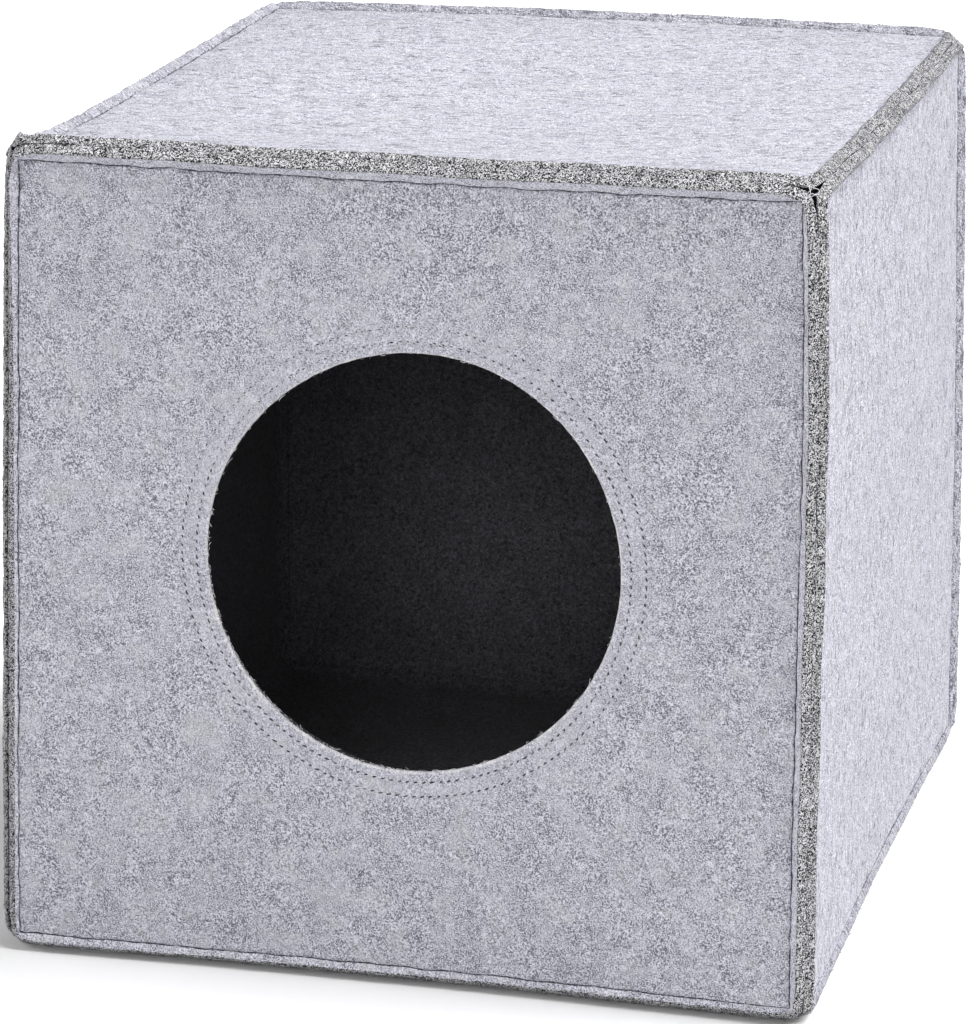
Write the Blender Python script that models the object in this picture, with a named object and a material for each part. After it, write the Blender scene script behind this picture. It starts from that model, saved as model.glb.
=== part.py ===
"""Felt cat cave: a soft cube of six thick felt panels, with a round doorway and a thin black lining.

At every edge of the cube the two panels that meet there are bent outward, laid face to face and stitched
through at the root of the bend. The fins that this leaves run round the whole cube, with open cut edges.

Metres, +Z up. The doorway faces -Y. The origin is on the floor under the middle of the cave.
"""

import math
from typing import NamedTuple

import bmesh
import bpy
from mathutils import Vector

# ---------------------------------------------------------------- sizes of the cave

WIDTH = 0.323  # outer face of the left panel to outer face of the right panel
DEPTH = 0.368  # the same from front to back
HEIGHT = 0.326  # the same from bottom to top
FELT = 0.0044  # thickness of the grey felt
LINING = 0.0012  # thickness of the black lining
LINING_GAP = 0.0004  # between the felt and the lining behind it
SEAM_GAP = 0.0004  # between the two layers of a fin, and between two linings at an edge
BASE_LIFT = 0.0016  # how far the fins hold the edges of the bottom panel off the floor
DEFORM_MARGIN = 0.012  # strip beside each edge in which a panel follows that edge alone

# ---------------------------------------------------------------- doorway

DOOR_RADIUS = 0.0824
DOOR_X = 0.0059
DOOR_Z = 0.1739
DOOR_SIDES = 72
DOOR_CUTTER_LENGTH = 0.04
LINING_DOOR_MARGIN = 0.0006  # the lining is cut this much wider than the felt


class DoorWave(NamedTuple):
    """One way in which the doorway, cut by hand, is out of round."""

    lobes: int
    size: float  # in mm
    turn: float  # direction of its first lobe, anticlockwise from +X as seen from in front, in degrees


DOOR_WAVES = (
    DoorWave(2, 1.0, 67),
    DoorWave(3, 0.2, 45),
    DoorWave(4, 0.3, -17),
)

# ---------------------------------------------------------------- mesh density

EDGE_CELL = 0.020  # distance from an edge to the first station past its groove
CELL = 0.032  # wanted distance between the stations across the middle of a panel

# ---------------------------------------------------------------- looks

FELT_COLOUR = (0.54, 0.54, 0.58, 1.0)
LINING_COLOUR = (0.016, 0.016, 0.018, 1.0)
FELT_ROUGHNESS = 0.95
LINING_ROUGHNESS = 0.9

MILLIMETRE = 0.001
OBJECT_NAME = "felt_cat_cave"


class Panel(NamedTuple):
    """One side of the cube."""

    name: str
    axis: int  # 0 for X, 1 for Y, 2 for Z
    side: int  # -1 on the low side of that axis, +1 on the high side
    pull: float  # how strongly its normal draws the fins round it its way
    crown: float  # how far its middle stands out, in mm; less than nothing is a sag
    ease: float  # distance over which the crown builds up, in mm


PANELS = (
    Panel("left", 0, -1, 1.4, 0.8, 120),
    Panel("right", 0, 1, 0.9, 1.2, 120),
    Panel("front", 1, -1, 1.0, 0.8, 120),
    Panel("back", 1, 1, 1.0, 1.2, 120),
    Panel("bottom", 2, -1, 2.2, BASE_LIFT / MILLIMETRE, 35),
    Panel("top", 2, 1, 1.0, -3.5, 150),
)
BY_NAME = {panel.name: panel for panel in PANELS}
BY_PLACE = {(panel.axis, panel.side): panel for panel in PANELS}


class Seam(NamedTuple):
    """One edge of the cube. Distances are in mm."""

    first: str
    second: str
    allowance: float  # stitch line to cut edge; 0 where the floor sets it
    bow_first: float  # how far the edge bows out along the first panel's normal
    bow_second: float  # the same along the second panel's normal
    peak: float  # where along the edge the bow is greatest, from 0 to 1
    sway: float  # how far the fin waves from side to side
    waves: float  # how many waves there are along the edge
    phase: float  # where the waves start, in turns


SEAMS = (
    Seam("front", "top", 7.2, 0.2, -0.5, 0.50, 0.35, 3.5, 0.10),
    Seam("front", "right", 5.6, 0.0, 1.4, 0.72, 0.40, 4.5, 0.35),
    Seam("front", "left", 3.9, 0.0, 0.3, 0.50, 0.30, 3.0, 0.60),
    Seam("front", "bottom", 0.0, -3.5, 0.0, 0.50, 0.20, 2.5, 0.20),
    Seam("left", "top", 5.9, 0.0, -5.6, 0.20, 0.45, 4.0, 0.80),
    Seam("right", "top", 6.4, 0.7, -1.1, 0.45, 0.60, 5.0, 0.15),
    Seam("back", "top", 6.5, 0.2, 1.3, 0.50, 0.35, 3.0, 0.55),
    Seam("back", "right", 6.5, 0.1, 0.8, 0.50, 0.40, 3.5, 0.05),
    Seam("back", "left", 6.4, 0.4, 0.5, 0.50, 0.40, 3.5, 0.45),
    Seam("right", "bottom", 0.0, -1.7, 0.0, 0.50, 0.20, 2.5, 0.70),
    Seam("left", "bottom", 0.0, -1.0, 0.0, 0.50, 0.20, 2.5, 0.30),
    Seam("back", "bottom", 0.0, -1.2, 0.0, 0.50, 0.20, 2.5, 0.90),
)
SEAM_OF = {frozenset((seam.first, seam.second)): seam for seam in SEAMS}
SWAY_LIFT = 0.6  # the fin's height changes by this share of its sway
SWAY_EASE = 0.25  # share of an edge over which the sway builds up from each corner


class Corner(NamedTuple):
    """A corner of the soft cube. Distances are in mm."""

    sides: tuple
    x: float  # how far the corner lies from that of the true box
    y: float
    z: float
    trim: float  # how far the fins' rounded ends fall short of their full height there


CORNERS = (
    Corner(("front", "bottom", "left"), -2.1, -0.3, 0.0, 1.6),
    Corner(("front", "bottom", "right"), 1.2, -1.2, 0.0, 1.2),
    Corner(("front", "top", "left"), 4.6, 1.6, 0.9, 1.8),
    Corner(("front", "top", "right"), -1.5, -0.1, 1.0, 0.8),
    Corner(("back", "bottom", "left"), -0.6, 0.4, 0.0, 1.5),
    Corner(("back", "bottom", "right"), 3.1, 0.9, 0.0, 1.6),
    Corner(("back", "top", "left"), -0.5, -0.4, -0.8, 1.4),
    Corner(("back", "top", "right"), -3.0, 0.0, -0.2, -0.6),
)
CORNER_OF = {frozenset(corner.sides): corner for corner in CORNERS}

LOW = (-WIDTH / 2, -DEPTH / 2, BASE_LIFT)
HIGH = (WIDTH / 2, DEPTH / 2, BASE_LIFT + HEIGHT)


# ---------------------------------------------------------------- how the soft cube departs from a true box


def smooth(value):
    """Rises gently from 0 to 1 as value goes from 0 to 1."""
    value = min(max(value, 0.0), 1.0)
    return value * value * (3.0 - 2.0 * value)


def normal_of(panel):
    """The outward normal of a panel of the true box."""
    normal = Vector()
    normal[panel.axis] = panel.side
    return normal


def other_axes(panel):
    """The two axes that lie in a panel's plane."""
    return [axis for axis in range(3) if axis != panel.axis]


def share_along(axis, place):
    """Where a place lies between the low and the high side, from 0 to 1, flat beside each of them."""
    low = LOW[axis] + DEFORM_MARGIN
    high = HIGH[axis] - DEFORM_MARGIN
    return min(max((place - low) / (high - low), 0.0), 1.0)


def corner_of(*panels):
    """The corner where three panels meet."""
    return CORNER_OF[frozenset(panel.name for panel in panels)]


def corner_shift(*panels):
    """How far the corner where three panels meet lies from the true box."""
    corner = corner_of(*panels)
    return Vector((corner.x, corner.y, corner.z)) * MILLIMETRE


def edge_shift(first, second, axis, share):
    """How far the edge between two panels lies from the true box, at a share of its length along an axis."""
    low, high = (corner_shift(first, second, BY_PLACE[axis, side]) for side in (-1, 1))
    shift = low.lerp(high, share)
    seam = SEAM_OF[frozenset((first.name, second.name))]
    skew = math.log(0.5) / math.log(seam.peak)
    bow = math.sin(math.pi * share**skew) * MILLIMETRE
    shift += normal_of(BY_NAME[seam.first]) * seam.bow_first * bow
    shift += normal_of(BY_NAME[seam.second]) * seam.bow_second * bow
    return shift


def panel_shift(panel, place):
    """How far a point of a panel lies from the true box: a blend between the panel's four edges."""
    across, up = other_axes(panel)
    s = share_along(across, place[across])
    t = share_along(up, place[up])
    shift = Vector()
    for side, weight in ((-1, 1.0 - t), (1, t)):
        shift += weight * edge_shift(panel, BY_PLACE[up, side], across, s)
    for side, weight in ((-1, 1.0 - s), (1, s)):
        shift += weight * edge_shift(panel, BY_PLACE[across, side], up, t)
        for other, other_weight in ((-1, 1.0 - t), (1, t)):
            shift -= weight * other_weight * corner_shift(panel, BY_PLACE[across, side], BY_PLACE[up, other])
    return shift


def crown_at(panel, place):
    """How far the panel's crown lifts a point along the panel's normal."""
    share = 1.0
    for axis in other_axes(panel):
        inset = min(place[axis] - LOW[axis], HIGH[axis] - place[axis])
        share *= smooth((inset - DEFORM_MARGIN) / (panel.ease * MILLIMETRE))
    return panel.crown * MILLIMETRE * share


# ---------------------------------------------------------------- the section of a seam


class Bend(NamedTuple):
    """The direction of the fin between a panel and its neighbour, seen in the section across the seam."""

    rise: float  # along the panel's own normal
    run: float  # along the neighbour's normal


def bend_of(panel, neighbour):
    """The fin leans towards the panel with the stronger pull, so three fins meet on one line at a corner."""
    length = math.hypot(panel.pull, neighbour.pull)
    return Bend(panel.pull / length, neighbour.pull / length)


def allowance_of(panel, neighbour):
    """Stitch line to cut edge. The fins under the cube end where one of their layers meets the floor."""
    seam = SEAM_OF[frozenset((panel.name, neighbour.name))]
    if "bottom" not in (seam.first, seam.second):
        return seam.allowance * MILLIMETRE
    bend = bend_of(BY_NAME[seam.first], BY_NAME[seam.second])
    return (BASE_LIFT + FELT - bend.rise * (FELT + SEAM_GAP / 2)) / bend.run


def offset_from_fin(face):
    """Distance of a felt face from the middle of a fin; face 0 is the outer face, face 1 the inner one."""
    return SEAM_GAP / 2 + (FELT if face == 0 else 0.0)


def inset_at(panel, neighbour, height, offset):
    """Distance in from the neighbour's outer face, at a height over the panel and an offset from the fin."""
    bend = bend_of(panel, neighbour)
    return FELT - (bend.run * (height + FELT) - offset) / bend.rise


def rim_height(panel, neighbour, face):
    """Height of the fin's cut edge over the panel's outer face."""
    bend = bend_of(panel, neighbour)
    return -FELT + bend.rise * allowance_of(panel, neighbour) + bend.run * offset_from_fin(face)


def sway_at(panel, neighbour, place):
    """Shift of a fin's cut edge: the same for both of its layers, none at the corners."""
    seam = SEAM_OF[frozenset((panel.name, neighbour.name))]
    axis = 3 - panel.axis - neighbour.axis
    share = share_along(axis, place[axis])
    calm = smooth(share / SWAY_EASE) * smooth((1.0 - share) / SWAY_EASE)
    wave = math.sin(2.0 * math.pi * (seam.waves * share + seam.phase)) * seam.sway * calm * MILLIMETRE
    first = BY_NAME[seam.first]
    second = BY_NAME[seam.second]
    bend = bend_of(first, second)
    sideways = normal_of(first) * bend.run - normal_of(second) * bend.rise
    shift = sideways * wave
    if "bottom" not in (seam.first, seam.second):
        shift += (normal_of(first) * bend.rise + normal_of(second) * bend.run) * wave * SWAY_LIFT
    else:
        shift.z = 0.0
    return shift


# ---------------------------------------------------------------- a sheet: the closed solid between two faces


def middle_stations(axis):
    """Insets from the low side of the stations across the middle of a panel."""
    span = HIGH[axis] - LOW[axis]
    count = round((span - 2 * EDGE_CELL) / CELL)
    step = (span - 2 * EDGE_CELL) / count
    return [EDGE_CELL + step * index for index in range(count + 1)]


class Face(NamedTuple):
    """One face of a sheet: its depth behind the panel's outer face, and its rows of points beside an edge."""

    depth: float
    edge_rows: int
    rim: bool  # the outermost row is the cut edge of a fin
    number: int  # 0 for the outer face of the sheet, 1 for the inner one


def edge_inset(panel, neighbour, face, row):
    """Inset of a row of points beside an edge; row 0 is the outermost."""
    if not face.rim:
        return inset_at(panel, neighbour, -face.depth, SEAM_GAP / 2)
    offset = offset_from_fin(face.number)
    height = rim_height(panel, neighbour, face.number) if row == 0 else -face.depth
    return inset_at(panel, neighbour, height, offset)


def axis_place(panel, axis, index, face):
    """Coordinate of a station along an axis, with the neighbour whose edge it is at, if any, and its row."""
    stations = middle_stations(axis)
    last = len(stations) + 2 * face.edge_rows - 1
    side = -1 if index < face.edge_rows else 1
    row = index if side < 0 else last - index
    if row >= face.edge_rows:
        return LOW[axis] + stations[index - face.edge_rows], None, row
    neighbour = BY_PLACE[axis, side]
    inset = edge_inset(panel, neighbour, face, row)
    return (LOW[axis] + inset if side < 0 else HIGH[axis] - inset), neighbour, row


def sheet_point(panel, face, indices):
    """World position of one point of a sheet's face, from its two station numbers."""
    axes = other_axes(panel)
    place = Vector()
    rims = []
    for axis, index in zip(axes, indices):
        place[axis], neighbour, row = axis_place(panel, axis, index, face)
        if face.rim and row == 0:
            rims.append((axis, neighbour))
    height = -face.depth
    if rims:
        height = min(rim_height(panel, neighbour, face.number) for _, neighbour in rims)
    if len(rims) == 2:
        height -= corner_of(panel, rims[0][1], rims[1][1]).trim * MILLIMETRE
        for axis, neighbour in rims:
            inset = inset_at(panel, neighbour, height, offset_from_fin(face.number))
            place[axis] = LOW[axis] + inset if neighbour.side < 0 else HIGH[axis] - inset
    place[panel.axis] = HIGH[panel.axis] if panel.side > 0 else LOW[panel.axis]
    point = place + panel_shift(panel, place) + normal_of(panel) * (height + crown_at(panel, place))
    if len(rims) == 1:
        point += sway_at(panel, rims[0][1], place)
    return point


def sheet_mesh(name, panel, outer, inner):
    """The closed mesh between a sheet's outer and inner face, made from a flat grid that is extruded once."""
    counts = [len(middle_stations(axis)) + 2 * outer.edge_rows - 1 for axis in other_axes(panel)]
    mesh = bmesh.new()
    bmesh.ops.create_grid(mesh, x_segments=counts[0], y_segments=counts[1], size=1.0)
    station = mesh.verts.layers.int.new("station")
    width = counts[1] + 1
    for vert in mesh.verts:
        column = round((vert.co.x + 1.0) / 2.0 * counts[0])
        row = round((vert.co.y + 1.0) / 2.0 * counts[1])
        vert[station] = column * width + row
    for cell in mesh.faces[:]:
        split_cell(cell, station, width, counts)
    original = set(mesh.verts)
    bmesh.ops.extrude_face_region(mesh, geom=mesh.faces[:])
    for vert in mesh.verts:
        indices = divmod(vert[station], width)
        face = inner if vert in original else outer
        vert.co = sheet_point(panel, face, indices)
    bmesh.ops.recalc_face_normals(mesh, faces=mesh.faces[:])
    if mesh.calc_volume(signed=True) < 0.0:
        bmesh.ops.reverse_faces(mesh, faces=mesh.faces[:])
    data = bpy.data.meshes.new(name)
    mesh.to_mesh(data)
    mesh.free()
    return data


def split_cell(cell, station, width, counts):
    """Cuts a cell of the grid in two along the diagonal that points to the nearest corner of the panel."""
    corners = {divmod(vert[station], width): vert for vert in cell.verts}
    columns = sorted({column for column, _ in corners})
    rows = sorted({row for _, row in corners})
    low_column = columns[1] * 2 <= counts[0]
    low_row = rows[1] * 2 <= counts[1]
    if low_column != low_row:
        rows.reverse()
    bmesh.utils.face_split(cell, corners[columns[0], rows[0]], corners[columns[1], rows[1]])


# ---------------------------------------------------------------- pieces


def new_material(name, colour, roughness):
    """A plain cloth material."""
    material = bpy.data.materials.new(name)
    material.use_nodes = True
    shader = material.node_tree.nodes["Principled BSDF"]
    shader.inputs["Base Color"].default_value = colour
    shader.inputs["Roughness"].default_value = roughness
    shader.inputs["Metallic"].default_value = 0.0
    material.diffuse_color = colour
    return material


def add_sheet(collection, name, panel, faces, colour, roughness):
    """Adds one sheet to the cave as an object of its own with a material of its own."""
    data = sheet_mesh(name, panel, *faces)
    data.materials.append(new_material(name, colour, roughness))
    sheet = bpy.data.objects.new(name, data)
    collection.objects.link(sheet)
    return sheet


def door_radius(angle):
    """Distance from the middle of the doorway to its rim, at an angle anticlockwise from +X."""
    uneven = sum(wave.size * math.cos(wave.lobes * (angle - math.radians(wave.turn))) for wave in DOOR_WAVES)
    return DOOR_RADIUS + uneven * MILLIMETRE


def add_door_cutter(collection, name, margin):
    """The round tool that cuts the doorway through the front, along Y."""
    bpy.ops.mesh.primitive_cylinder_add(
        vertices=DOOR_SIDES,
        radius=1.0,
        depth=DOOR_CUTTER_LENGTH,
        location=(DOOR_X, LOW[1], DOOR_Z),
        rotation=(math.pi / 2, 0.0, 0.0),
    )
    cutter = bpy.context.object
    cutter.name = name
    for vert in cutter.data.vertices:
        angle = math.atan2(vert.co.y, vert.co.x)
        radius = door_radius(angle) + margin
        vert.co.x = radius * math.cos(angle)
        vert.co.y = radius * math.sin(angle)
    cutter.hide_render = True
    cutter.display_type = "WIRE"
    for user in cutter.users_collection:
        user.objects.unlink(cutter)
    collection.objects.link(cutter)
    return cutter


def cut_door(sheet, cutter):
    """Cuts the doorway through a front sheet."""
    cut = sheet.modifiers.new("doorway", "BOOLEAN")
    cut.operation = "DIFFERENCE"
    cut.solver = "EXACT"
    cut.object = cutter


def main():
    """Clears the scene and makes the six felt panels and the six lining panels."""
    for old in list(bpy.data.objects):
        bpy.data.objects.remove(old, do_unlink=True)
    parts = bpy.data.collections.new(OBJECT_NAME)
    cutters = bpy.data.collections.new("cutters")
    bpy.context.scene.collection.children.link(parts)
    bpy.context.scene.collection.children.link(cutters)

    felt_faces = (Face(0.0, 2, True, 0), Face(FELT, 2, True, 1))
    lining_depth = FELT + LINING_GAP
    lining_faces = (Face(lining_depth, 1, False, 0), Face(lining_depth + LINING, 1, False, 1))
    for panel in PANELS:
        felt_name = "felt_" + panel.name
        lining_name = "lining_" + panel.name
        felt = add_sheet(parts, felt_name, panel, felt_faces, FELT_COLOUR, FELT_ROUGHNESS)
        lining = add_sheet(parts, lining_name, panel, lining_faces, LINING_COLOUR, LINING_ROUGHNESS)
        if panel.name == "front":
            cut_door(felt, add_door_cutter(cutters, "doorway_in_felt", 0.0))
            cut_door(lining, add_door_cutter(cutters, "doorway_in_lining", LINING_DOOR_MARGIN))


main()
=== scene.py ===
"""Looks of the felt cat cave: fine felt sheets with sewn fins, a black lining, threads and loose fibres."""

import math
from typing import NamedTuple

import bpy
import numpy as np
from mathutils import Matrix, Vector


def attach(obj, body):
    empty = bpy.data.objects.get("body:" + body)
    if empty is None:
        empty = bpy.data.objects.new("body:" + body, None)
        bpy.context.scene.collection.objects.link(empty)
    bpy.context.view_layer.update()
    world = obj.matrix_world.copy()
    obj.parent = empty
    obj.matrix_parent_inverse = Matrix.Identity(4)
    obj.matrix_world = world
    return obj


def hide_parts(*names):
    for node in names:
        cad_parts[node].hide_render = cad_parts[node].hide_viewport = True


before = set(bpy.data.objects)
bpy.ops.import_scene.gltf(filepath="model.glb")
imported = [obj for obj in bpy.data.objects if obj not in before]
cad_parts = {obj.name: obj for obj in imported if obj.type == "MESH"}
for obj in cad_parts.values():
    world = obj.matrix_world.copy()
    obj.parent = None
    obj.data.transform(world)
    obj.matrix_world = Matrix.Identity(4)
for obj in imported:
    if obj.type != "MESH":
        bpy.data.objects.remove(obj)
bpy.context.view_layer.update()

MM = 0.001

# ---- sizes of the cave, as in the part

WIDTH = 0.323
DEPTH = 0.368
HEIGHT = 0.326
FELT = 0.0044
LINING = 0.0012
LINING_GAP = 0.0004
SEAM_GAP = 0.0004
BASE_LIFT = 0.0016
DEFORM_MARGIN = 0.012

DOOR_RADIUS = 0.0826
DOOR_X = 0.0044
DOOR_Z = 0.1726
DOOR_MIDDLE = np.array(((DOOR_X,), (DOOR_Z,)))


class DoorWave(NamedTuple):
    """One way in which the doorway is out of round."""

    lobes: int
    size: float  # in mm
    turn: float  # in degrees


DOOR_WAVES = (DoorWave(2, 1.0, 67), DoorWave(3, 0.2, 45), DoorWave(4, 0.3, -17), DoorWave(2, 0.35, 140))


class Panel(NamedTuple):
    """One side of the cube."""

    name: str
    axis: int
    side: int
    pull: float  # how strongly its normal draws the fins round it its way
    crown: float  # how far its middle stands out, in mm
    ease: float  # distance over which the crown builds up, in mm
    nap: float  # how coarse its melange is
    flank: float  # painted light and shade: how much lighter its layers of the fins are painted than its face, as the light falls on them


# The last column paints light and shade on the fins: the front's layers of the fins are painted lighter than
# its face, and those of the other sides but the bottom darker, as the light falls on them.
PANELS = (
    Panel("left", 0, -1, 1.4, 0.8, 120, 0.72, -1.0),
    Panel("right", 0, 1, 0.9, 1.2, 120, 0.58, -1.8),
    Panel("front", 1, -1, 1.0, 0.8, 120, 1.0, 1.5),
    Panel("back", 1, 1, 1.0, 1.2, 120, 0.72, -1.0),
    Panel("bottom", 2, -1, 2.2, BASE_LIFT / MM, 35, 0.80, 0.0),
    Panel("top", 2, 1, 1.0, -3.5, 150, 0.60, -2.0),
)
BY_NAME = {panel.name: panel for panel in PANELS}
BY_PLACE = {(panel.axis, panel.side): panel for panel in PANELS}


class Seam(NamedTuple):
    """One edge of the cube. Distances are in mm."""

    first: str
    second: str
    allowance: float  # stitch line to cut edge
    bow_first: float  # how far its middle stands out along the first panel's normal
    bow_second: float
    peak: float  # where it stands out most, as a share of its length
    sway: float  # how far the fin's cut edge sways to both sides
    waves: float
    phase: float


SEAMS = (
    Seam("front", "top", 7.2, 0.2, -0.5, 0.50, 0.35, 3.5, 0.10),
    Seam("front", "right", 5.6, 0.0, 1.4, 0.72, 0.40, 4.5, 0.35),
    Seam("front", "left", 3.9, 0.0, 0.3, 0.50, 0.30, 3.0, 0.60),
    Seam("front", "bottom", 0.0, -3.5, 0.0, 0.50, 0.20, 2.5, 0.20),
    Seam("left", "top", 5.9, 0.0, -5.6, 0.20, 0.45, 4.0, 0.80),
    Seam("right", "top", 6.4, 0.7, -1.1, 0.45, 0.60, 5.0, 0.15),
    Seam("back", "top", 6.5, 0.2, 1.3, 0.50, 0.35, 3.0, 0.55),
    Seam("back", "right", 6.5, 0.1, 0.8, 0.50, 0.40, 3.5, 0.05),
    Seam("back", "left", 6.4, 0.4, 0.5, 0.50, 0.40, 3.5, 0.45),
    Seam("right", "bottom", 0.0, -1.7, 0.0, 0.50, 0.20, 2.5, 0.70),
    Seam("left", "bottom", 0.0, -1.0, 0.0, 0.50, 0.20, 2.5, 0.30),
    Seam("back", "bottom", 0.0, -1.2, 0.0, 0.50, 0.20, 2.5, 0.90),
)
SEAM_OF = {frozenset((seam.first, seam.second)): seam for seam in SEAMS}
SWAY_LIFT = 0.6  # how far a fin's height sways with it
SWAY_EASE = 0.25  # share of a seam's length over which the sway builds up


class Corner(NamedTuple):
    """A corner of the soft cube. Distances are in mm."""

    sides: tuple
    shift: tuple  # from the true box's corner
    trim: float  # how far the corners of its fins are rounded off
    opened: float = 0.6  # how far its fins draw apart
    taper: float = 0.12  # how much lower its fins run into it, as a share


CORNERS = (
    Corner(("front", "bottom", "left"), (-2.1, -0.3, 0.0), 1.6),
    Corner(("front", "bottom", "right"), (1.2, -1.2, 0.0), 1.2),
    Corner(("front", "top", "left"), (4.6, 1.6, 0.9), 1.8, 0.8, 0.25),
    Corner(("front", "top", "right"), (-1.5, -0.1, 1.0), 0.8, 1.2, 0.30),
    Corner(("back", "bottom", "left"), (-0.6, 0.4, 0.0), 1.5),
    Corner(("back", "bottom", "right"), (3.1, 0.9, 0.0), 1.6),
    Corner(("back", "top", "left"), (-0.5, -0.4, -0.8), 1.4),
    Corner(("back", "top", "right"), (-3.0, 0.0, -0.2), -0.6, 0.9, 0.22),
)
CORNER_OF = {frozenset(corner.sides): corner for corner in CORNERS}
LOW = (-WIDTH / 2, -DEPTH / 2, BASE_LIFT)
HIGH = (WIDTH / 2, DEPTH / 2, BASE_LIFT + HEIGHT)

# ---- fineness of the sheets

CELL = 0.0029  # across the middle of a panel
FIN_ROWS = (1.0, 0.84, 0.66, 0.48, 0.31, 0.16, 0.06)  # heights of the rows up a fin, as shares
ROOT_ROWS = (0.0, 0.35, 0.75, 1.3, 2.1, 3.3, 5.0, 7.2)  # distances of the rows in from the groove, in mm
CUT_ROWS = 9  # rows across a cut edge
CUT_BULGE = 0.0007  # how far a cut edge is rounded
CORNER_SHARPNESS = 4.0  # of the fold where two fins of a panel meet
PETAL_REACH = 0.0060  # how far from its tip a petal draws away from the others
PETAL_TAPER_REACH = 0.0065
PETAL_TRIM = 0.0030  # how much further the corner of a fin is rounded off than in the part
PETAL_SHARES = (0.60, 0.90)  # least and most height of the tip of a petal, as a share
ROOT_EASE = 0.010  # over which the inner face draws in towards a fin
RIPPLE_SIZE = 0.00018  # of the waves across a layer of a fin
RIM_ROWS = 10  # across the cut edge of the doorway
RIM_ROUND = 0.0009  # how far the cut edge of the doorway is rounded at the face
RIM_ROUND_SHARE = 0.2  # of the felt's thickness is rounded
RIM_LEAN = 0.0020  # how far the cut edge of the doorway leans back behind the face
RIM_LEAN_EASE = 0.006
RIM_ROUGHNESS = 0.00012
GROOVE_WIDTH = 0.00042
GROOVE_DEPTH = 0.0006
WOBBLE = 0.00036  # how far the groove strays from a straight line
WOBBLE_REACH = 0.0016  # felt this near to the groove strays with it
PARTING = 0.00012  # between the two layers of a fin at their cut edges
PARTING_SPREAD = 0.00030  # how unevenly they part
PARTING_LIMITS = (0.00002, 0.0007)


class Parting(NamedTuple):
    """A place where the two layers of a fin gape. Distances are in metres."""

    place: tuple
    reach: float
    gap: float


PARTINGS = (
    Parting((-0.142, -0.188, 0.330), 0.014, 0.0006),
    Parting((0.158, -0.188, 0.330), 0.007, 0.0008),
    Parting((0.165, -0.188, 0.205), 0.012, 0.0005),
)


class Dimple(NamedTuple):
    """A hollow beside the groove's corner at the top left of the front, with painted shade in it. Sizes are
    in mm.
    """

    along: float
    down: float
    reach_along: float
    reach_down: float
    depth: float
    tone: float  # painted shade: how much lighter the felt is painted in it, darker below 0


DIMPLES = (Dimple(4.2, 0.8, 3.2, 1.2, 0.9, -5.0), Dimple(1.0, 6.0, 0.9, 5.0, 0.5, -2.2))


class Layer(NamedTuple):
    """What sets a panel's layer of a fin apart, and the face beside it, with their painted light and shade.
    Sizes are in mm.
    """

    low: float = 0.0  # how much further than in the part it stands up at the low end of the seam
    high: float = 0.0
    ease: float = 1.0
    faces: tuple = (0,)  # that stand up further: 0 is the outer one, 1 the inner one
    # painted light and shade on this layer, in tenths of the felt's range: below 0 it is painted darker
    painted_light_and_shade: float = 0.0
    ripple: float = 0.0  # length of the waves across it
    painted_shading_fade: float = 0.0  # painted light and shade: how much lighter the panel is painted towards it, darker below 0, in tenths of the felt's range
    reach: float = 1.0  # over which that painted light and shade dies away


# Painted light and shade: the bottom fins are painted darker, as the shade near the floor. The top is painted
# darker towards its left and back grooves, the front a little darker below its top fin, and the right side
# lighter towards the front and darker towards the back, as the light falls.
LAYERS = {
    ("front", "left"): Layer(low=-0.40, high=1.1, ease=6.0),
    ("front", "right"): Layer(low=0.65),
    ("front", "bottom"): Layer(low=-0.05, high=-0.55, painted_light_and_shade=-1.0),
    ("front", "top"): Layer(painted_shading_fade=-0.3, reach=10.0),
    ("left", "front"): Layer(low=0.95, high=0.45, ease=4.0, faces=(0, 1)),
    ("right", "front"): Layer(painted_shading_fade=0.8, reach=60.0),
    ("right", "back"): Layer(painted_shading_fade=-0.3, reach=60.0),
    ("right", "bottom"): Layer(painted_light_and_shade=-0.9, ripple=8.0),
    ("top", "left"): Layer(ripple=5.2, painted_shading_fade=-1.0, reach=45.0),
    ("top", "back"): Layer(painted_shading_fade=-1.1, reach=45.0),
}


class StitchRow(NamedTuple):
    """One of the rows of stitches round the doorway."""

    away: float  # from the rim, in mm
    count: int


STITCH_ROWS = (StitchRow(4.25, 165), StitchRow(10.1, 176))
STITCH_SLANT = -0.8  # in mm away from the rim along a needle hole
HOLE_LENGTH = 0.30  # of a needle hole, to both sides, as a share of the pitch
HOLE_WIDTH = 0.38  # to both sides, in mm


# ---- how the soft cube departs from a true box


def smooth(value):
    """Rises gently from 0 to 1 as value goes from 0 to 1."""
    value = np.clip(value, 0.0, 1.0)
    return value * value * (3.0 - 2.0 * value)


def normal_of(panel):
    """The outward normal of a panel of the true box."""
    normal = np.zeros(3)
    normal[panel.axis] = panel.side
    return normal


def other_axes(panel):
    """The two axes that lie in a panel's plane."""
    return [axis for axis in range(3) if axis != panel.axis]


def seam_of(first, second):
    """The seam between two panels."""
    return SEAM_OF[frozenset((first.name, second.name))]


def corner_of(*panels):
    """The corner where three panels meet."""
    return CORNER_OF[frozenset(panel.name for panel in panels)]


def layer_of(panel, neighbour):
    """What sets the panel's layer of the fin beside a neighbour apart."""
    return LAYERS.get((panel.name, neighbour.name), Layer())


def edge_of(panel):
    """Where the true box ends on the panel's side."""
    return HIGH[panel.axis] if panel.side > 0 else LOW[panel.axis]


def share_along(axis, place):
    """Where a place lies between the low and the high side, flat beside each of them."""
    low = LOW[axis] + DEFORM_MARGIN
    high = HIGH[axis] - DEFORM_MARGIN
    return np.clip((place - low) / (high - low), 0.0, 1.0)


def corner_shift(*panels):
    """How far the corner where three panels meet lies from the true box."""
    return np.array(corner_of(*panels).shift) * MM


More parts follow.
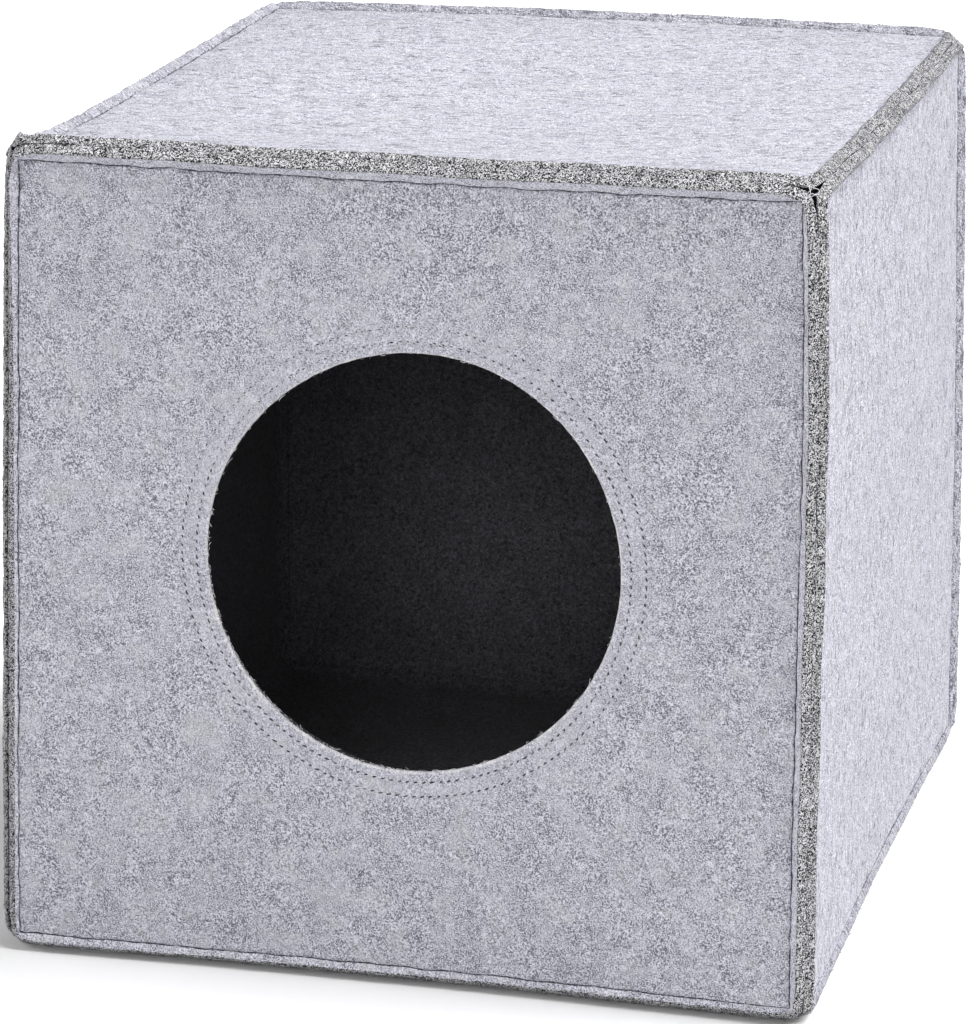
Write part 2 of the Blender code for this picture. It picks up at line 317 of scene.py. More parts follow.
def edge_shift(first, second, axis, share):
    """How far the edge between two panels lies from the true box, at shares of its length."""
    low, high = (corner_shift(first, second, BY_PLACE[axis, side]) for side in (-1, 1))
    shift = low + (high - low) * share[:, None]
    seam = seam_of(first, second)
    bow = (np.sin(np.pi * share ** (math.log(0.5) / math.log(seam.peak))) * MM)[:, None]
    shift = shift + normal_of(BY_NAME[seam.first]) * seam.bow_first * bow
    return shift + normal_of(BY_NAME[seam.second]) * seam.bow_second * bow


def panel_shift(panel, place):
    """How far points of a panel lie from the true box: a blend between the panel's four edges."""
    across, up = other_axes(panel)
    s = share_along(across, place[:, across])
    t = share_along(up, place[:, up])
    shift = np.zeros_like(place)
    for side, weight in ((-1, 1.0 - t), (1, t)):
        shift += weight[:, None] * edge_shift(panel, BY_PLACE[up, side], across, s)
    for side, weight in ((-1, 1.0 - s), (1, s)):
        shift += weight[:, None] * edge_shift(panel, BY_PLACE[across, side], up, t)
        for other, other_weight in ((-1, 1.0 - t), (1, t)):
            corner = corner_shift(panel, BY_PLACE[across, side], BY_PLACE[up, other])
            shift -= (weight * other_weight)[:, None] * corner
    return shift


def crown_at(panel, place):
    """How far the panel's crown lifts points along the panel's normal."""
    share = np.ones(len(place))
    for axis in other_axes(panel):
        inset = np.minimum(place[:, axis] - LOW[axis], HIGH[axis] - place[:, axis])
        share *= smooth((inset - DEFORM_MARGIN) / (panel.ease * MM))
    return panel.crown * MM * share


def bend_of(panel, neighbour):
    """Rise along the panel's normal and run along the neighbour's of the fin between them."""
    length = math.hypot(panel.pull, neighbour.pull)
    return panel.pull / length, neighbour.pull / length


def allowance_of(panel, neighbour):
    """Stitch line to cut edge. The fins under the cube end where one of their layers meets the floor."""
    seam = seam_of(panel, neighbour)
    if "bottom" not in (seam.first, seam.second):
        return seam.allowance * MM
    rise, run = bend_of(BY_NAME[seam.first], BY_NAME[seam.second])
    return (BASE_LIFT + FELT - rise * (FELT + SEAM_GAP / 2)) / run


def offset_from_fin(face):
    """Distance of a felt face from the middle of a fin; face 0 is the outer face, face 1 the inner one."""
    return SEAM_GAP / 2 + (FELT if face == 0 else 0.0)


def inset_at(panel, neighbour, height, offset):
    """Distance in from the neighbour's outer face, at a height over the panel and an offset from the fin."""
    rise, run = bend_of(panel, neighbour)
    return FELT - (run * (height + FELT) - offset) / rise


def rim_height(panel, neighbour, face):
    """Height of the fin's cut edge over the panel's outer face."""
    rise, run = bend_of(panel, neighbour)
    return -FELT + rise * allowance_of(panel, neighbour) + run * offset_from_fin(face)


def sway_at(panel, neighbour, place):
    """Shift of a fin's cut edge: the same for both of its layers, none at the corners."""
    seam = seam_of(panel, neighbour)
    axis = 3 - panel.axis - neighbour.axis
    share = share_along(axis, place[:, axis])
    calm = smooth(share / SWAY_EASE) * smooth((1.0 - share) / SWAY_EASE)
    wave = (np.sin(2.0 * np.pi * (seam.waves * share + seam.phase)) * seam.sway * calm * MM)[:, None]
    first = BY_NAME[seam.first]
    second = BY_NAME[seam.second]
    rise, run = bend_of(first, second)
    shift = (normal_of(first) * run - normal_of(second) * rise) * wave
    if "bottom" in (seam.first, seam.second):
        shift[:, 2] = 0.0
        return shift
    return shift + (normal_of(first) * rise + normal_of(second) * run) * wave * SWAY_LIFT


def ripple(points, length, seed, count=9):
    """A smooth random field between about -1 and 1, with waves of about the given length."""
    rng = np.random.default_rng(seed)
    total = np.zeros(len(points))
    for _ in range(count):
        heading = rng.normal(size=3)
        heading *= 2.0 * np.pi / (length * rng.uniform(0.75, 1.35)) / np.linalg.norm(heading)
        total += np.sin(points @ heading + rng.uniform(0.0, 2.0 * np.pi))
    return total / math.sqrt(count * 2.0)


def rays(angle):
    """The directions at angles anticlockwise from +X, across and up."""
    return np.stack((np.cos(angle), np.sin(angle)))


def from_door(place):
    """The angle and the distance of places on the front from the middle of the doorway."""
    away = place - DOOR_MIDDLE
    return np.arctan2(away[1], away[0]), np.hypot(*away)


def door_radius(angle):
    """Distance from the middle of the doorway to its rim, at angles anticlockwise from +X."""
    uneven = sum(wave.size * np.cos(wave.lobes * (angle - math.radians(wave.turn))) for wave in DOOR_WAVES)
    return DOOR_RADIUS + uneven * MM


# ---- the flat cut of a sheet


class Stations(NamedTuple):
    """Places along one axis of a panel; on a fin the place is that of its groove."""

    place: np.ndarray
    rise: np.ndarray  # 0 on the panel, up to 1 at a cut edge
    side: np.ndarray  # -1 or 1, the nearer edge


def root_inset(panel, neighbour):
    """How far in from the neighbour's outer face the groove lies."""
    return inset_at(panel, neighbour, 0.0, offset_from_fin(0))


def stations_of(panel, axis):
    """The stations across a panel, from one cut edge to the other."""
    low = LOW[axis] + root_inset(panel, BY_PLACE[axis, -1])
    high = HIGH[axis] - root_inset(panel, BY_PLACE[axis, 1])
    rows = np.array(ROOT_ROWS) * MM
    span = high - low - 2.0 * rows[-1]
    count = round(span / CELL)
    middle = low + rows[-1] + span * np.arange(1, count) / count
    fin = len(FIN_ROWS)
    place = np.concatenate((np.full(fin, low), low + rows, middle, (high - rows)[::-1], np.full(fin, high)))
    flat = len(place) - 2 * fin
    rise = np.concatenate((FIN_ROWS, np.zeros(flat), FIN_ROWS[::-1]))
    side = np.where(place < (low + high) / 2.0, -1, 1)
    return Stations(place, rise, side)


class Cut(NamedTuple):
    """The flat cut of a sheet: its points' stations on both axes, its quads, and its edge loops.

    Place, rise and side each hold a row for the panel's first axis and one for the second.
    """

    place: np.ndarray
    rise: np.ndarray
    side: np.ndarray
    quads: np.ndarray = None
    loops: list = None


def grid_quads(number):
    """The quads of a grid of point numbers, or of many such grids."""
    corners = (number[..., :-1, :-1], number[..., 1:, :-1], number[..., 1:, 1:], number[..., :-1, 1:])
    return np.stack(corners, axis=-1).reshape(-1, 4)


def ring_of(number):
    """The numbers round a grid's edge, in order, without a repeat."""
    return np.concatenate((number[:-1, 0], number[-1, :-1], number[:0:-1, -1], number[0, :0:-1]))


def closed_rows(rows):
    """Rows of point numbers round a loop, with the first number again at the end of each."""
    return np.concatenate((rows, rows[..., :1]), axis=-1)


def plain_cut(axes):
    """The cut of a plain sheet, from its stations on both axes."""
    shape = [len(stations.place) for stations in axes]
    number = np.arange(shape[0] * shape[1]).reshape(shape)
    index = np.divmod(number.ravel(), shape[1])
    values = [np.array([stations[field][spot] for stations, spot in zip(axes, index)]) for field in range(3)]
    return Cut(*values, grid_quads(number), [ring_of(number)])


DOOR_BLOCK = 0.112  # half the side of the square in which the cells turn round the doorway
DOOR_RINGS = 22
DOOR_EASE = 1.35  # how much closer the rings lie beside the rim


def door_cut(axes, margin):
    """The cut of a sheet with the doorway: its cells turn round the doorway and meet the even ones."""
    cut = plain_cut(axes)
    number = np.arange(cut.place.shape[1]).reshape([len(stations.place) for stations in axes])
    inside = [np.abs(stations.place - middle) < DOOR_BLOCK for stations, middle in zip(axes, DOOR_MIDDLE)]
    block = number[np.ix_(*inside)]
    ring = ring_of(block)
    turning = {tuple(quad) for quad in grid_quads(block)}
    keep = [tuple(quad) not in turning for quad in cut.quads]
    rows = number.size + np.arange(DOOR_RINGS * len(ring)).reshape(DOOR_RINGS, -1)
    rows = np.concatenate((ring[None], rows))
    quads = np.concatenate((cut.quads[keep], grid_quads(closed_rows(rows))[:, ::-1]))

    away = cut.place[:, ring] - DOOR_MIDDLE
    angle = from_door(cut.place[:, ring])[0]
    rim = (door_radius(angle) + margin) * rays(angle)
    shares = 1.0 - (1.0 - np.arange(1, DOOR_RINGS + 1) / DOOR_RINGS) ** DOOR_EASE
    added = np.concatenate([DOOR_MIDDLE + away * (1.0 - share) + rim * share for share in shares], axis=1)
    middle = (cut.place.min(axis=1) + cut.place.max(axis=1))[:, None] / 2.0
    used = np.ones(number.size + added.shape[1], bool)
    used[block[1:-1, 1:-1]] = False
    new = np.cumsum(used) - 1
    return Cut(
        np.concatenate((cut.place, added), axis=1)[:, used],
        np.concatenate((cut.rise, added * 0.0), axis=1)[:, used],
        np.concatenate((cut.side, np.where(added < middle, -1, 1)), axis=1)[:, used],
        new[quads],
        [new[cut.loops[0]], new[rows[-1]][::-1]],
    )


# ---- a felt sheet in its place


def sides_of(panel, cut):
    """Each of a cut's two directions with each neighbour there, and the points that are nearer to it."""
    for index, axis in enumerate(other_axes(panel)):
        for side in (-1, 1):
            yield index, BY_PLACE[axis, side], cut.side[index] == side


def corners_of(panel, cut):
    """Each corner of a panel, the two neighbours that meet there, and the points that are nearest to it."""
    first_axis, second_axis = other_axes(panel)
    for first in (-1, 1):
        for second in (-1, 1):
            sides = (BY_PLACE[first_axis, first], BY_PLACE[second_axis, second])
            yield corner_of(panel, *sides), sides, (cut.side[0] == first) & (cut.side[1] == second)


def corner_scale(panel, cut):
    """Rounds off the petal where two fins of a panel meet, and lowers the fins beside it."""
    scale = np.ones(len(cut.rise[0]))
    for corner, sides, near in corners_of(panel, cut):
        petal = near & (cut.rise.min(axis=0) > 0.0)
        if not petal.any():
            continue
        height = min(rim_height(panel, side, 0) for side in sides)
        tip = (height - corner.trim * MM - PETAL_TRIM) / height / 2.0 ** (1.0 / CORNER_SHARPNESS)
        power = math.log(2.0) / -math.log(np.clip(tip, *PETAL_SHARES))
        a, b = cut.rise[:, petal]
        scale[petal] = np.maximum(a, b) / (a**power + b**power) ** (1.0 / power)
        far = ((cut.place[:, near] - cut.place[:, petal][:, :1]) ** 2).sum(axis=0)
        scale[near] *= 1.0 - corner.taper * np.exp(-far / PETAL_TAPER_REACH**2)
    return scale


def reach_of(layer, face, share):
    """How much further than in the part a layer of a fin stands up, at shares of the seam's length."""
    return (layer.low + (layer.high - layer.low) * share**layer.ease) * MM * (face in layer.faces)


def felt_face(panel, cut, face):
    """World positions of one face of a felt sheet."""
    axes = other_axes(panel)
    base = 0.0 if face == 0 else -FELT
    scale = corner_scale(panel, cut)
    place = np.zeros((len(scale), 3))
    place[:, panel.axis] = edge_of(panel)
    place[:, axes] = cut.place.T
    lifts = np.zeros((2, len(scale)))
    sways = []
    for index, neighbour, near in sides_of(panel, cut):
        axis, side = neighbour.axis, neighbour.side
        fin = near & (cut.rise[index] > 0.0)
        height = rim_height(panel, neighbour, face) - base - CUT_BULGE * bend_of(panel, neighbour)[0]
        share = share_along(axes[1 - index], cut.place[1 - index])
        height = height + reach_of(layer_of(panel, neighbour), face, share)
        lifts[index][fin] = (cut.rise[index] * scale * height)[fin]
        inset = inset_at(panel, neighbour, base + lifts[index], offset_from_fin(face))
        place[fin, axis] = edge_of(neighbour) - side * inset[fin]
        if face == 1:
            flat = near & ~fin
            distance = np.abs(edge_of(neighbour) - cut.place[index]) - root_inset(panel, neighbour)
            narrow = root_inset(panel, neighbour) - inset_at(panel, neighbour, base, offset_from_fin(1))
            shift = narrow * (1.0 - np.clip(distance / ROOT_EASE, 0.0, 1.0))
            place[flat, axis] += (side * shift)[flat]
        sways.append((neighbour, fin, cut.rise[index]))
    height = base + (lifts**CORNER_SHARPNESS).sum(axis=0) ** (1.0 / CORNER_SHARPNESS)
    point = place + panel_shift(panel, place) + normal_of(panel) * (height + crown_at(panel, place))[:, None]
    for neighbour, fin, rise in sways:
        point[fin] += sway_at(panel, neighbour, place[fin]) * rise[fin][:, None]
    for corner, sides, near in corners_of(panel, cut):
        tip = near & (cut.rise.min(axis=0) == 1.0)
        if tip.any():
            far = np.linalg.norm(point - point[tip][0], axis=1) / PETAL_REACH
            drawn = np.exp(-(far**2)) * cut.rise.max(axis=0) * corner.opened * MM
            point -= (normal_of(sides[0]) + normal_of(sides[1])) * drawn[:, None]
    return point


def unit(vectors):
    """The vectors at length 1."""
    return vectors / np.linalg.norm(vectors, axis=-1, keepdims=True)


def swell_at(share):
    """How far a cut edge stands out, at shares of the way from the outer face to the parting."""
    return CUT_BULGE * (1.0 - np.abs(1.6 * share - 1.0) ** 2.6) ** (1.0 / 2.6)


class CutEdge(NamedTuple):
    """The cut edge round a sheet: its points on both faces, and the way that it faces there."""

    outer: np.ndarray
    inner: np.ndarray
    outward: np.ndarray


def cut_edge(cut, outer, inner):
    """The cut edge round a sheet, which faces away from the points beside it."""
    loop = cut.loops[0]
    middle = (outer + inner) / 2.0
    total = np.zeros((len(middle), 3))
    count = np.zeros(len(middle))
    rim = np.zeros(len(middle), bool)
    rim[loop] = True
    for first in range(4):
        for second in range(4):
            a, b = cut.quads[:, first], cut.quads[:, second]
            use = rim[a] & ~rim[b]
            np.add.at(total, a[use], middle[b[use]])
            np.add.at(count, a[use], 1.0)
    corner = loop[count[loop] == 0.0]
    total[corner] = middle.mean(axis=0)
    count[corner] = 1.0
    return CutEdge(outer[loop], inner[loop], unit(middle[loop] - total[loop] / count[loop][:, None]))


def edge_rows(edge):
    """Rows of points across a cut edge, rounded at the outer face, against the other layer at the parting."""
    across = unit(edge.inner - edge.outer)
    gap = np.clip(PARTING + PARTING_SPREAD * ripple(edge.inner, 0.016, 25), *PARTING_LIMITS)
    for parting in PARTINGS:
        far = np.linalg.norm(edge.inner - parting.place, axis=1) / parting.reach
        gap += parting.gap * np.exp(-(far**2))
    rows = []
    for row in range(1, CUT_ROWS + 1):
        share = 0.5 - 0.5 * math.cos(math.pi * row / CUT_ROWS)
        point = edge.outer * (1.0 - share) + edge.inner * share + edge.outward * swell_at(share)
        point += across * ((SEAM_GAP - gap) / 2.0 * share**2)[:, None]
        rough = ripple(point, 0.0055, 21) * 0.16 + ripple(point, 0.010, 22) * 0.22
        rows.append(point + edge.outward * (rough * MM)[:, None])
    return rows


def rim_rows(outer, inner):
    """Rows of points across the cut edge of the doorway."""
    middle = np.array((DOOR_X, outer[:, 1].mean(), DOOR_Z))
    inward = unit((middle - outer) * (1.0, 0.0, 1.0))
    rows = []
    for row in range(1, RIM_ROWS):
        share = (row / RIM_ROWS) ** 1.3
        turn = max(1.0 - share / RIM_ROUND_SHARE, 0.0)
        back = max(share - RIM_ROUND_SHARE, 0.0) / (1.0 - RIM_ROUND_SHARE)
        swell = RIM_ROUND * math.sqrt(1.0 - turn**2) + RIM_LEAN * share - (RIM_ROUND + RIM_LEAN) * back**1.5
        point = outer * (1.0 - share) + inner * share
        rows.append(point + inward * (swell + ripple(point, 0.006, 23) * RIM_ROUGHNESS)[:, None])
    return rows


def groove_and_waves(panel, cut, outer):
    """Moves the outer face where a groove strays or a fin is wavy; returns 1 in a groove, 0 far from it."""
    groove = np.zeros(len(outer))
    for index, neighbour, near in sides_of(panel, cut):
        axis = neighbour.axis
        rise = cut.rise[index]
        run = np.where(
            rise > 0.0,
            rise * rim_height(panel, neighbour, 0) / bend_of(panel, neighbour)[0],
            np.abs(edge_of(neighbour) - cut.place[index]) - root_inset(panel, neighbour),
        )
        run[~near] = 1.0
        beyond = smooth(cut.rise[1 - index] * 4.0)
        groove = np.maximum(groove, np.exp(-((run / GROOVE_WIDTH) ** 2)) * (1.0 - beyond))
        length = layer_of(panel, neighbour).ripple * MM
        if length:
            turn = 2.0 * np.pi * cut.place[1 - index] / length + 2.2 * ripple(outer, 0.05, 71)
            wave = np.sin(turn) * (0.6 + 0.4 * ripple(outer, 0.03, 72))
            middle = np.exp(-(((rise - 0.55) / 0.40) ** 2)) * (near & (rise > 0.0))
            outer[:, axis] -= neighbour.side * RIPPLE_SIZE * wave * middle
        wave = ripple(outer, 0.011, 61 + axis) + 0.45 * ripple(outer, 0.0048, 64 + axis)
        outer[:, axis] += WOBBLE * wave * np.exp(-((run / WOBBLE_REACH) ** 2))
    return groove


def painted_light_and_shade_of(panel, cut, flank):
    """Painted light and shade: how much lighter than the panel's middle its points are painted, in tenths of
    the felt's range.
    """
    painted_light_and_shade = flank * panel.flank
    for index, neighbour, near in sides_of(panel, cut):
        layer = layer_of(panel, neighbour)
        far = np.abs(edge_of(neighbour) - cut.place[index]) / MM
        painted_light_and_shade += layer.painted_light_and_shade * (near & (cut.rise[index] > 0.0))
        painted_light_and_shade += (1.0 - flank) * layer.painted_shading_fade * np.exp(-far / layer.reach)
    return painted_light_and_shade


def hollow_at(dimple, cut):
    """How deep the points of the front lie in a dimple, from 0 to 1."""
    front = BY_NAME["front"]
    across = cut.place[0] - LOW[0] - root_inset(front, BY_NAME["left"]) - dimple.along * MM
    down = HIGH[2] - root_inset(front, BY_NAME["top"]) - dimple.down * MM - cut.place[1]
    return np.exp(-((across / dimple.reach_along) ** 2 + (down / dimple.reach_down) ** 2) / MM**2)


def unevenness(panel, points):
    """How far the felt's own unevenness lifts points of a panel."""
    return (ripple(points, 0.060, 11 + panel.axis) * 0.21 + ripple(points, 0.022, 5) * 0.10) * MM


def felt_mesh(name, panel, cut):
    """The closed fine mesh of a felt sheet, with the numbers that its material needs, and its cut edge."""
    outer = felt_face(panel, cut, 0)
    inner = felt_face(panel, cut, 1)
    flank = 1.0 * (cut.rise.max(axis=0) > 0.0)
    groove = groove_and_waves(panel, cut, outer)
    painted_light_and_shade = painted_light_and_shade_of(panel, cut, flank)
    for dimple in DIMPLES if panel.name == "front" else ():
        hollow = hollow_at(dimple, cut) * (1.0 - flank)
        # Painted shade: the felt in a dimple is painted darker.
        painted_light_and_shade += dimple.tone * hollow
        outer[:, 1] += dimple.depth * MM * hollow
    outer += normal_of(panel) * (unevenness(panel, outer) * (1.0 - flank) - groove * GROOVE_DEPTH)[:, None]

    away = np.ones(len(outer))
    if panel.name == "front":
        angle, distance = from_door(cut.place)
        away = distance - door_radius(angle)
        inner[:, [0, 2]] += (rays(angle) * RIM_LEAN * np.exp(-away / RIM_LEAN_EASE)).T
    edge = cut_edge(cut, outer, inner)
    rows = [edge_rows(edge)]
    # Painted shade: the inner faces of the fins, between their two layers, get 2 and are painted nearly
    # black. Their rows at the cut edges get 1, as raw cut felt.
    inside = flank * (2.0 - (cut.rise.max(axis=0) == 1.0))
    raw = [np.zeros(len(outer)), inside, np.ones(CUT_ROWS * len(cut.loops[0]))]
    for loop in cut.loops[1:]:
        rows.append(rim_rows(outer[loop], inner[loop]))
        raw.append(np.repeat(np.clip(np.arange(RIM_ROWS - 1) / 6.0, 0.0, 0.35), len(loop)))
    data = closed_sheet(name, cut, outer, inner, rows, 65.0)
    add_values(data, "groove", groove)
    add_values(data, "painted_light_and_shade", painted_light_and_shade)
    add_values(data, "cut", np.concatenate(raw))
    add_values(data, "nap", np.full(len(data.vertices), panel.nap))
    add_values(data, "door", away / MM)
    return data, edge


def closed_sheet(name, cut, outer, inner, edges, sharp):
    """The closed mesh of a sheet, from its two faces and the rows of points across each of its edges."""
    count = len(outer)
    points = [outer, inner]
    quads = [cut.quads, cut.quads[:, ::-1] + count]
    start = 2 * count
    for loop, rows in zip(cut.loops, edges):
        points += rows
        numbers = start + np.arange(len(rows) * len(loop)).reshape(len(rows), len(loop))
        start += numbers.size
        numbers = np.concatenate((loop[None], numbers, loop[None] + count))
        quads.append(grid_quads(closed_rows(numbers)))
    return new_mesh(name, np.concatenate(points), np.concatenate(quads), sharp)


def new_mesh(name, points, quads, sharp=0.0):
    """A smooth mesh from points and quads, its faces turned outward."""
    points[:, 2] = np.maximum(points[:, 2], 0.0)
    a, b, c, d = (points[quads[:, index]] for index in range(4))
    volume = (a * np.cross(b, c)).sum() + (a * np.cross(c, d)).sum()
    if volume < 0.0:
        quads = quads[:, ::-1]
    data = bpy.data.meshes.new(name)
    data.from_pydata(points.tolist(), [], quads.tolist())
    data.validate()
    data.shade_smooth()
    if sharp:
        data.set_sharp_from_angle(angle=math.radians(sharp))
    return data


def add_values(data, name, values):
    """Stores a number for each point of a mesh: 0 for the points past the last value."""
    padded = np.zeros(len(data.vertices), np.float32)
    padded[: len(values)] = values
    data.attributes.new(name, "FLOAT", "POINT").data.foreach_set("value", padded)


def add_object(name, data):
    """A new object in the scene."""
    item = bpy.data.objects.new(name, data)
    bpy.context.scene.collection.objects.link(item)
    return item


def add_piece(name, data, material, slot, *nodes):
    """Adds a piece that rides on the cave, in place of the nodes that it stands for."""
    data.materials.append(material)
    piece = add_object(name, data)
    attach(piece, "root")
    if nodes:
        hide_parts(*nodes)
    return piece


# ---- materials


class Value:
    """A number, colour or vector in a node tree. Numbers can be added, multiplied and so on."""

    def __init__(self, nodes, socket):
        self.nodes = nodes
        self.socket = socket

    def __add__(self, other):
        return self.nodes.math("ADD", self, other)

    def __sub__(self, other):
        return self.nodes.math("SUBTRACT", self, other)

    def __rsub__(self, other):
        return self.nodes.math("SUBTRACT", other, self)

    def __mul__(self, other):
        return self.nodes.math("MULTIPLY", self, other)

    def __pow__(self, other):
        return self.nodes.math("POWER", self, other)

    def __abs__(self):
        return self.nodes.math("ABSOLUTE", self)

    __radd__ = __add__


class Nodes:
    """Short calls that build a material's node tree."""

    def __init__(self, name):
        self.material = bpy.data.materials.new(name)
        self.material.use_nodes = True
        self.coordinates = self.node("TexCoord", "Object")

    def put(self, socket, value):
        """Sets or links an input."""
        if isinstance(value, Value):
            self.material.node_tree.links.new(value.socket, socket)
        else:
            socket.default_value = value

    def node(self, kind, output, inputs=None, **attributes):
        """An output of a new node with its inputs and attributes."""
        node = self.material.node_tree.nodes.new("ShaderNode" + kind)
        for key, value in attributes.items():
            setattr(node, key, value)
        for key, value in (inputs or {}).items():
            self.put(node.inputs[key], value)
        return Value(self, node.outputs[output])

    def math(self, operation, first, second=0.0):
        """A sum, product or the like of numbers."""
        return self.node("Math", 0, {0: first, 1: second}, operation=operation)

    def noise(self, scale, detail=2.0, roughness=0.5, distortion=0.0, vector=None):
        """Noise of a scale in waves a metre."""
        inputs = {"Scale": scale, "Detail": detail, "Roughness": roughness, "Distortion": distortion}
        return self.node("TexNoise", "Fac", {"Vector": vector or self.coordinates, **inputs})

    def uneven(self, *noise):
        """Noise about 0."""
        return self.noise(*noise) - 0.5

    def ramp(self, value, low, high, start=0.0, end=1.0):
        """A number brought from one range to another, held at its ends."""
        inputs = {"Value": value, "From Min": low, "From Max": high, "To Min": start, "To Max": end}
        return self.node("MapRange", "Result", inputs, clamp=True)

    def mix(self, share, first, second):
        """A mix of two colours, each a value or a red, a green and a blue."""
        colours = [colour if isinstance(colour, Value) else (*colour, 1.0) for colour in (first, second)]
        return self.node("Mix", 2, {0: share, 6: colours[0], 7: colours[1]}, data_type="RGBA")

    def attribute(self, name):
        """A number stored on the mesh."""
        return self.node("Attribute", "Fac", attribute_name=name)

    def moved(self, **inputs):
        """Coordinates moved, turned or stretched."""
        return self.node("Mapping", "Vector", {"Vector": self.coordinates, **inputs}, vector_type="TEXTURE")

    def finish(self, colour, roughness, specular, height=None, depth=1.0, **more):
        """Sets the shader and returns the material. A height makes a bump, its depth given as a share."""
        shader = self.material.node_tree.nodes["Principled BSDF"]
        inputs = {"Base Color": colour, "Roughness": roughness, "Specular IOR Level": specular, **more}
        if height:
            bump = {"Height": height, "Strength": depth, "Distance": BUMP_DISTANCE}
            inputs["Normal"] = self.node("Bump", "Normal", bump)
        for key, value in inputs.items():
            self.put(shader.inputs[key], value)
        return self.material


BUMP_DISTANCE = 0.0008
STRANDS = (  # directions of the felt's fibres, and their scale
    ((0.3, 0.9, 0.2), 1500.0),
    ((1.4, 0.1, 1.0), 1650.0),
    ((0.6, 2.1, 2.3), 1400.0),
    ((2.5, 1.2, 0.7), 1750.0),
)
STRAND_STRETCH = (2.6, 1.0, 1.0)
BRUSH_STRETCH = (3.6, 1.0, 3.6)  # of the brushed streaks across the cave


def fibres(n, shift, scale, width, mask_scale, rare):
    """Short tangled lines, such as single fibres make: 1 on a line, 0 between them."""
    vector = n.node("Mapping", "Vector", {"Vector": n.coordinates, "Location": shift})
    level = abs(n.uneven(scale, 1.0, 0.5, 0.9, vector))
    mask = n.ramp(n.noise(mask_scale, 0.0, 0.5, 0.0, vector), rare, rare + 0.08)
    return n.ramp(level, width, width * 0.3) * mask


def needle_hole_mask(n):
    """The needle holes round the doorway: 1 in a hole, 0 between them. The felt is painted dark in them as
    their shade.
    """
    across = n.node("SeparateXYZ", "X", {"Vector": n.coordinates}) - DOOR_X
    up = n.node("SeparateXYZ", "Z", {"Vector": n.coordinates}) - DOOR_Z
    angle = n.math("ARCTAN2", up, across)
    away = n.attribute("door")
    stray = n.uneven(300.0, 0.0)
    marks = 0.0
    for row in STITCH_ROWS:
        along = n.math("FRACT", angle * (row.count / (2.0 * math.pi)) + stray * 0.5) - 0.5
        beside = away - (along * STITCH_SLANT + row.away)
        far = abs(along * (1.0 / HOLE_LENGTH)) ** 2.0 + abs(beside * (1.0 / HOLE_WIDTH)) ** 2.0
        marks += n.ramp(far, 1.0, 0.5)
    return marks * n.ramp(stray, -0.22, 0.05, 0.55, 1.0)


def fibre_material():
    """Single fibres and threads, from nearly black to nearly white."""
    n = Nodes("fibre")
    shade = n.attribute("shade") + n.uneven(2500.0, 1.0) * 0.25
    base = n.mix(n.ramp(shade, 0.0, 1.0), (0.022, 0.022, 0.024), (0.70, 0.69, 0.73))
    return n.finish(base, 0.8, 0.2)


class Melange(NamedTuple):
    """The parts of the felt's pattern, each a number about 0."""

    strands: Value  # fine fibres
    streaks: Value  # brushed across the cave
    fine: Value
    middle: Value


def melange_of(n):
    """The parts of the felt's pattern; the coarser the nap, the fainter the streaks."""
    nap = n.attribute("nap")
    strands = 0.0
    for turn, scale in STRANDS:
        strands += n.uneven(scale, 0.0, 0.5, 0.5, n.moved(Rotation=turn, Scale=STRAND_STRETCH))
    streaks = n.uneven(640.0, 2.0, 0.6, 1.0, n.moved(Scale=BRUSH_STRETCH))
    streaks = streaks * 0.60 - n.ramp(streaks, -0.10, -0.18, 0.0, 0.24)
    streaks *= 2.4 - nap * 2.3
    return Melange(strands, streaks, n.uneven(1900.0, 0.0) * nap, n.uneven(260.0, 2.0, 0.65, 0.8))


def face_colour(n, melange):
    """The colour of the felt's faces: light and dark greys, a little calmer and darker round the doorway,
    with painted light and shade from the mesh and a painted highlight along the doorway's rim.
    """
    door = n.attribute("door")
    heather = n.ramp(n.uneven(80.0, 3.0, 0.6, 1.0) + melange.middle * 0.55, 0.13, -0.13)
    dark = [
        fibres(n, (0.3, 0.1, 0.7), 330.0, 0.060, 380.0, 0.47),
        fibres(n, (0.9, 0.5, 0.2), 560.0, 0.085, 280.0, 0.47),
    ]
    dark = n.math("MAXIMUM", *dark) * (heather + 0.25)
    light = fibres(n, (0.1, 0.8, 0.4), 420.0, 0.060, 330.0, 0.46)
    grain = (melange.strands * 0.42 + melange.fine * 2.1 + melange.streaks) * (heather * 0.50 + 0.74)
    grain += (heather * -0.11 + dark * -0.16) * n.attribute("nap")
    calm = n.ramp(door, 10.0, 17.0)
    grain = grain * (calm * 0.40 + 0.60) + calm * -0.03
    # Painted light and shade, stored on the mesh, makes the felt lighter or darker here.
    tone = grain + 0.655 + light * 0.18 + n.attribute("painted_light_and_shade") * 0.10
    base = n.mix(n.ramp(tone, 0.0, 1.0), (0.17, 0.17, 0.20), (0.74, 0.735, 0.83))
    warm = n.ramp(n.noise(80.0, 2.0, 0.6, 0.5), 0.50, 0.72, 0.0, 0.20)
    base = n.mix(warm, base, (0.57, 0.575, 0.53))
    # Painted highlight: within about a millimetre of the doorway's rim, and on its cut edge, the felt is
    # painted nearly white in patches.
    rim = n.ramp(door, 0.55, 1.15, 1.0, 0.0) * n.ramp(n.noise(160.0, 1.0), 0.35, 0.65, 0.15, 0.60)
    return n.mix(rim, base, (0.93, 0.91, 0.88))


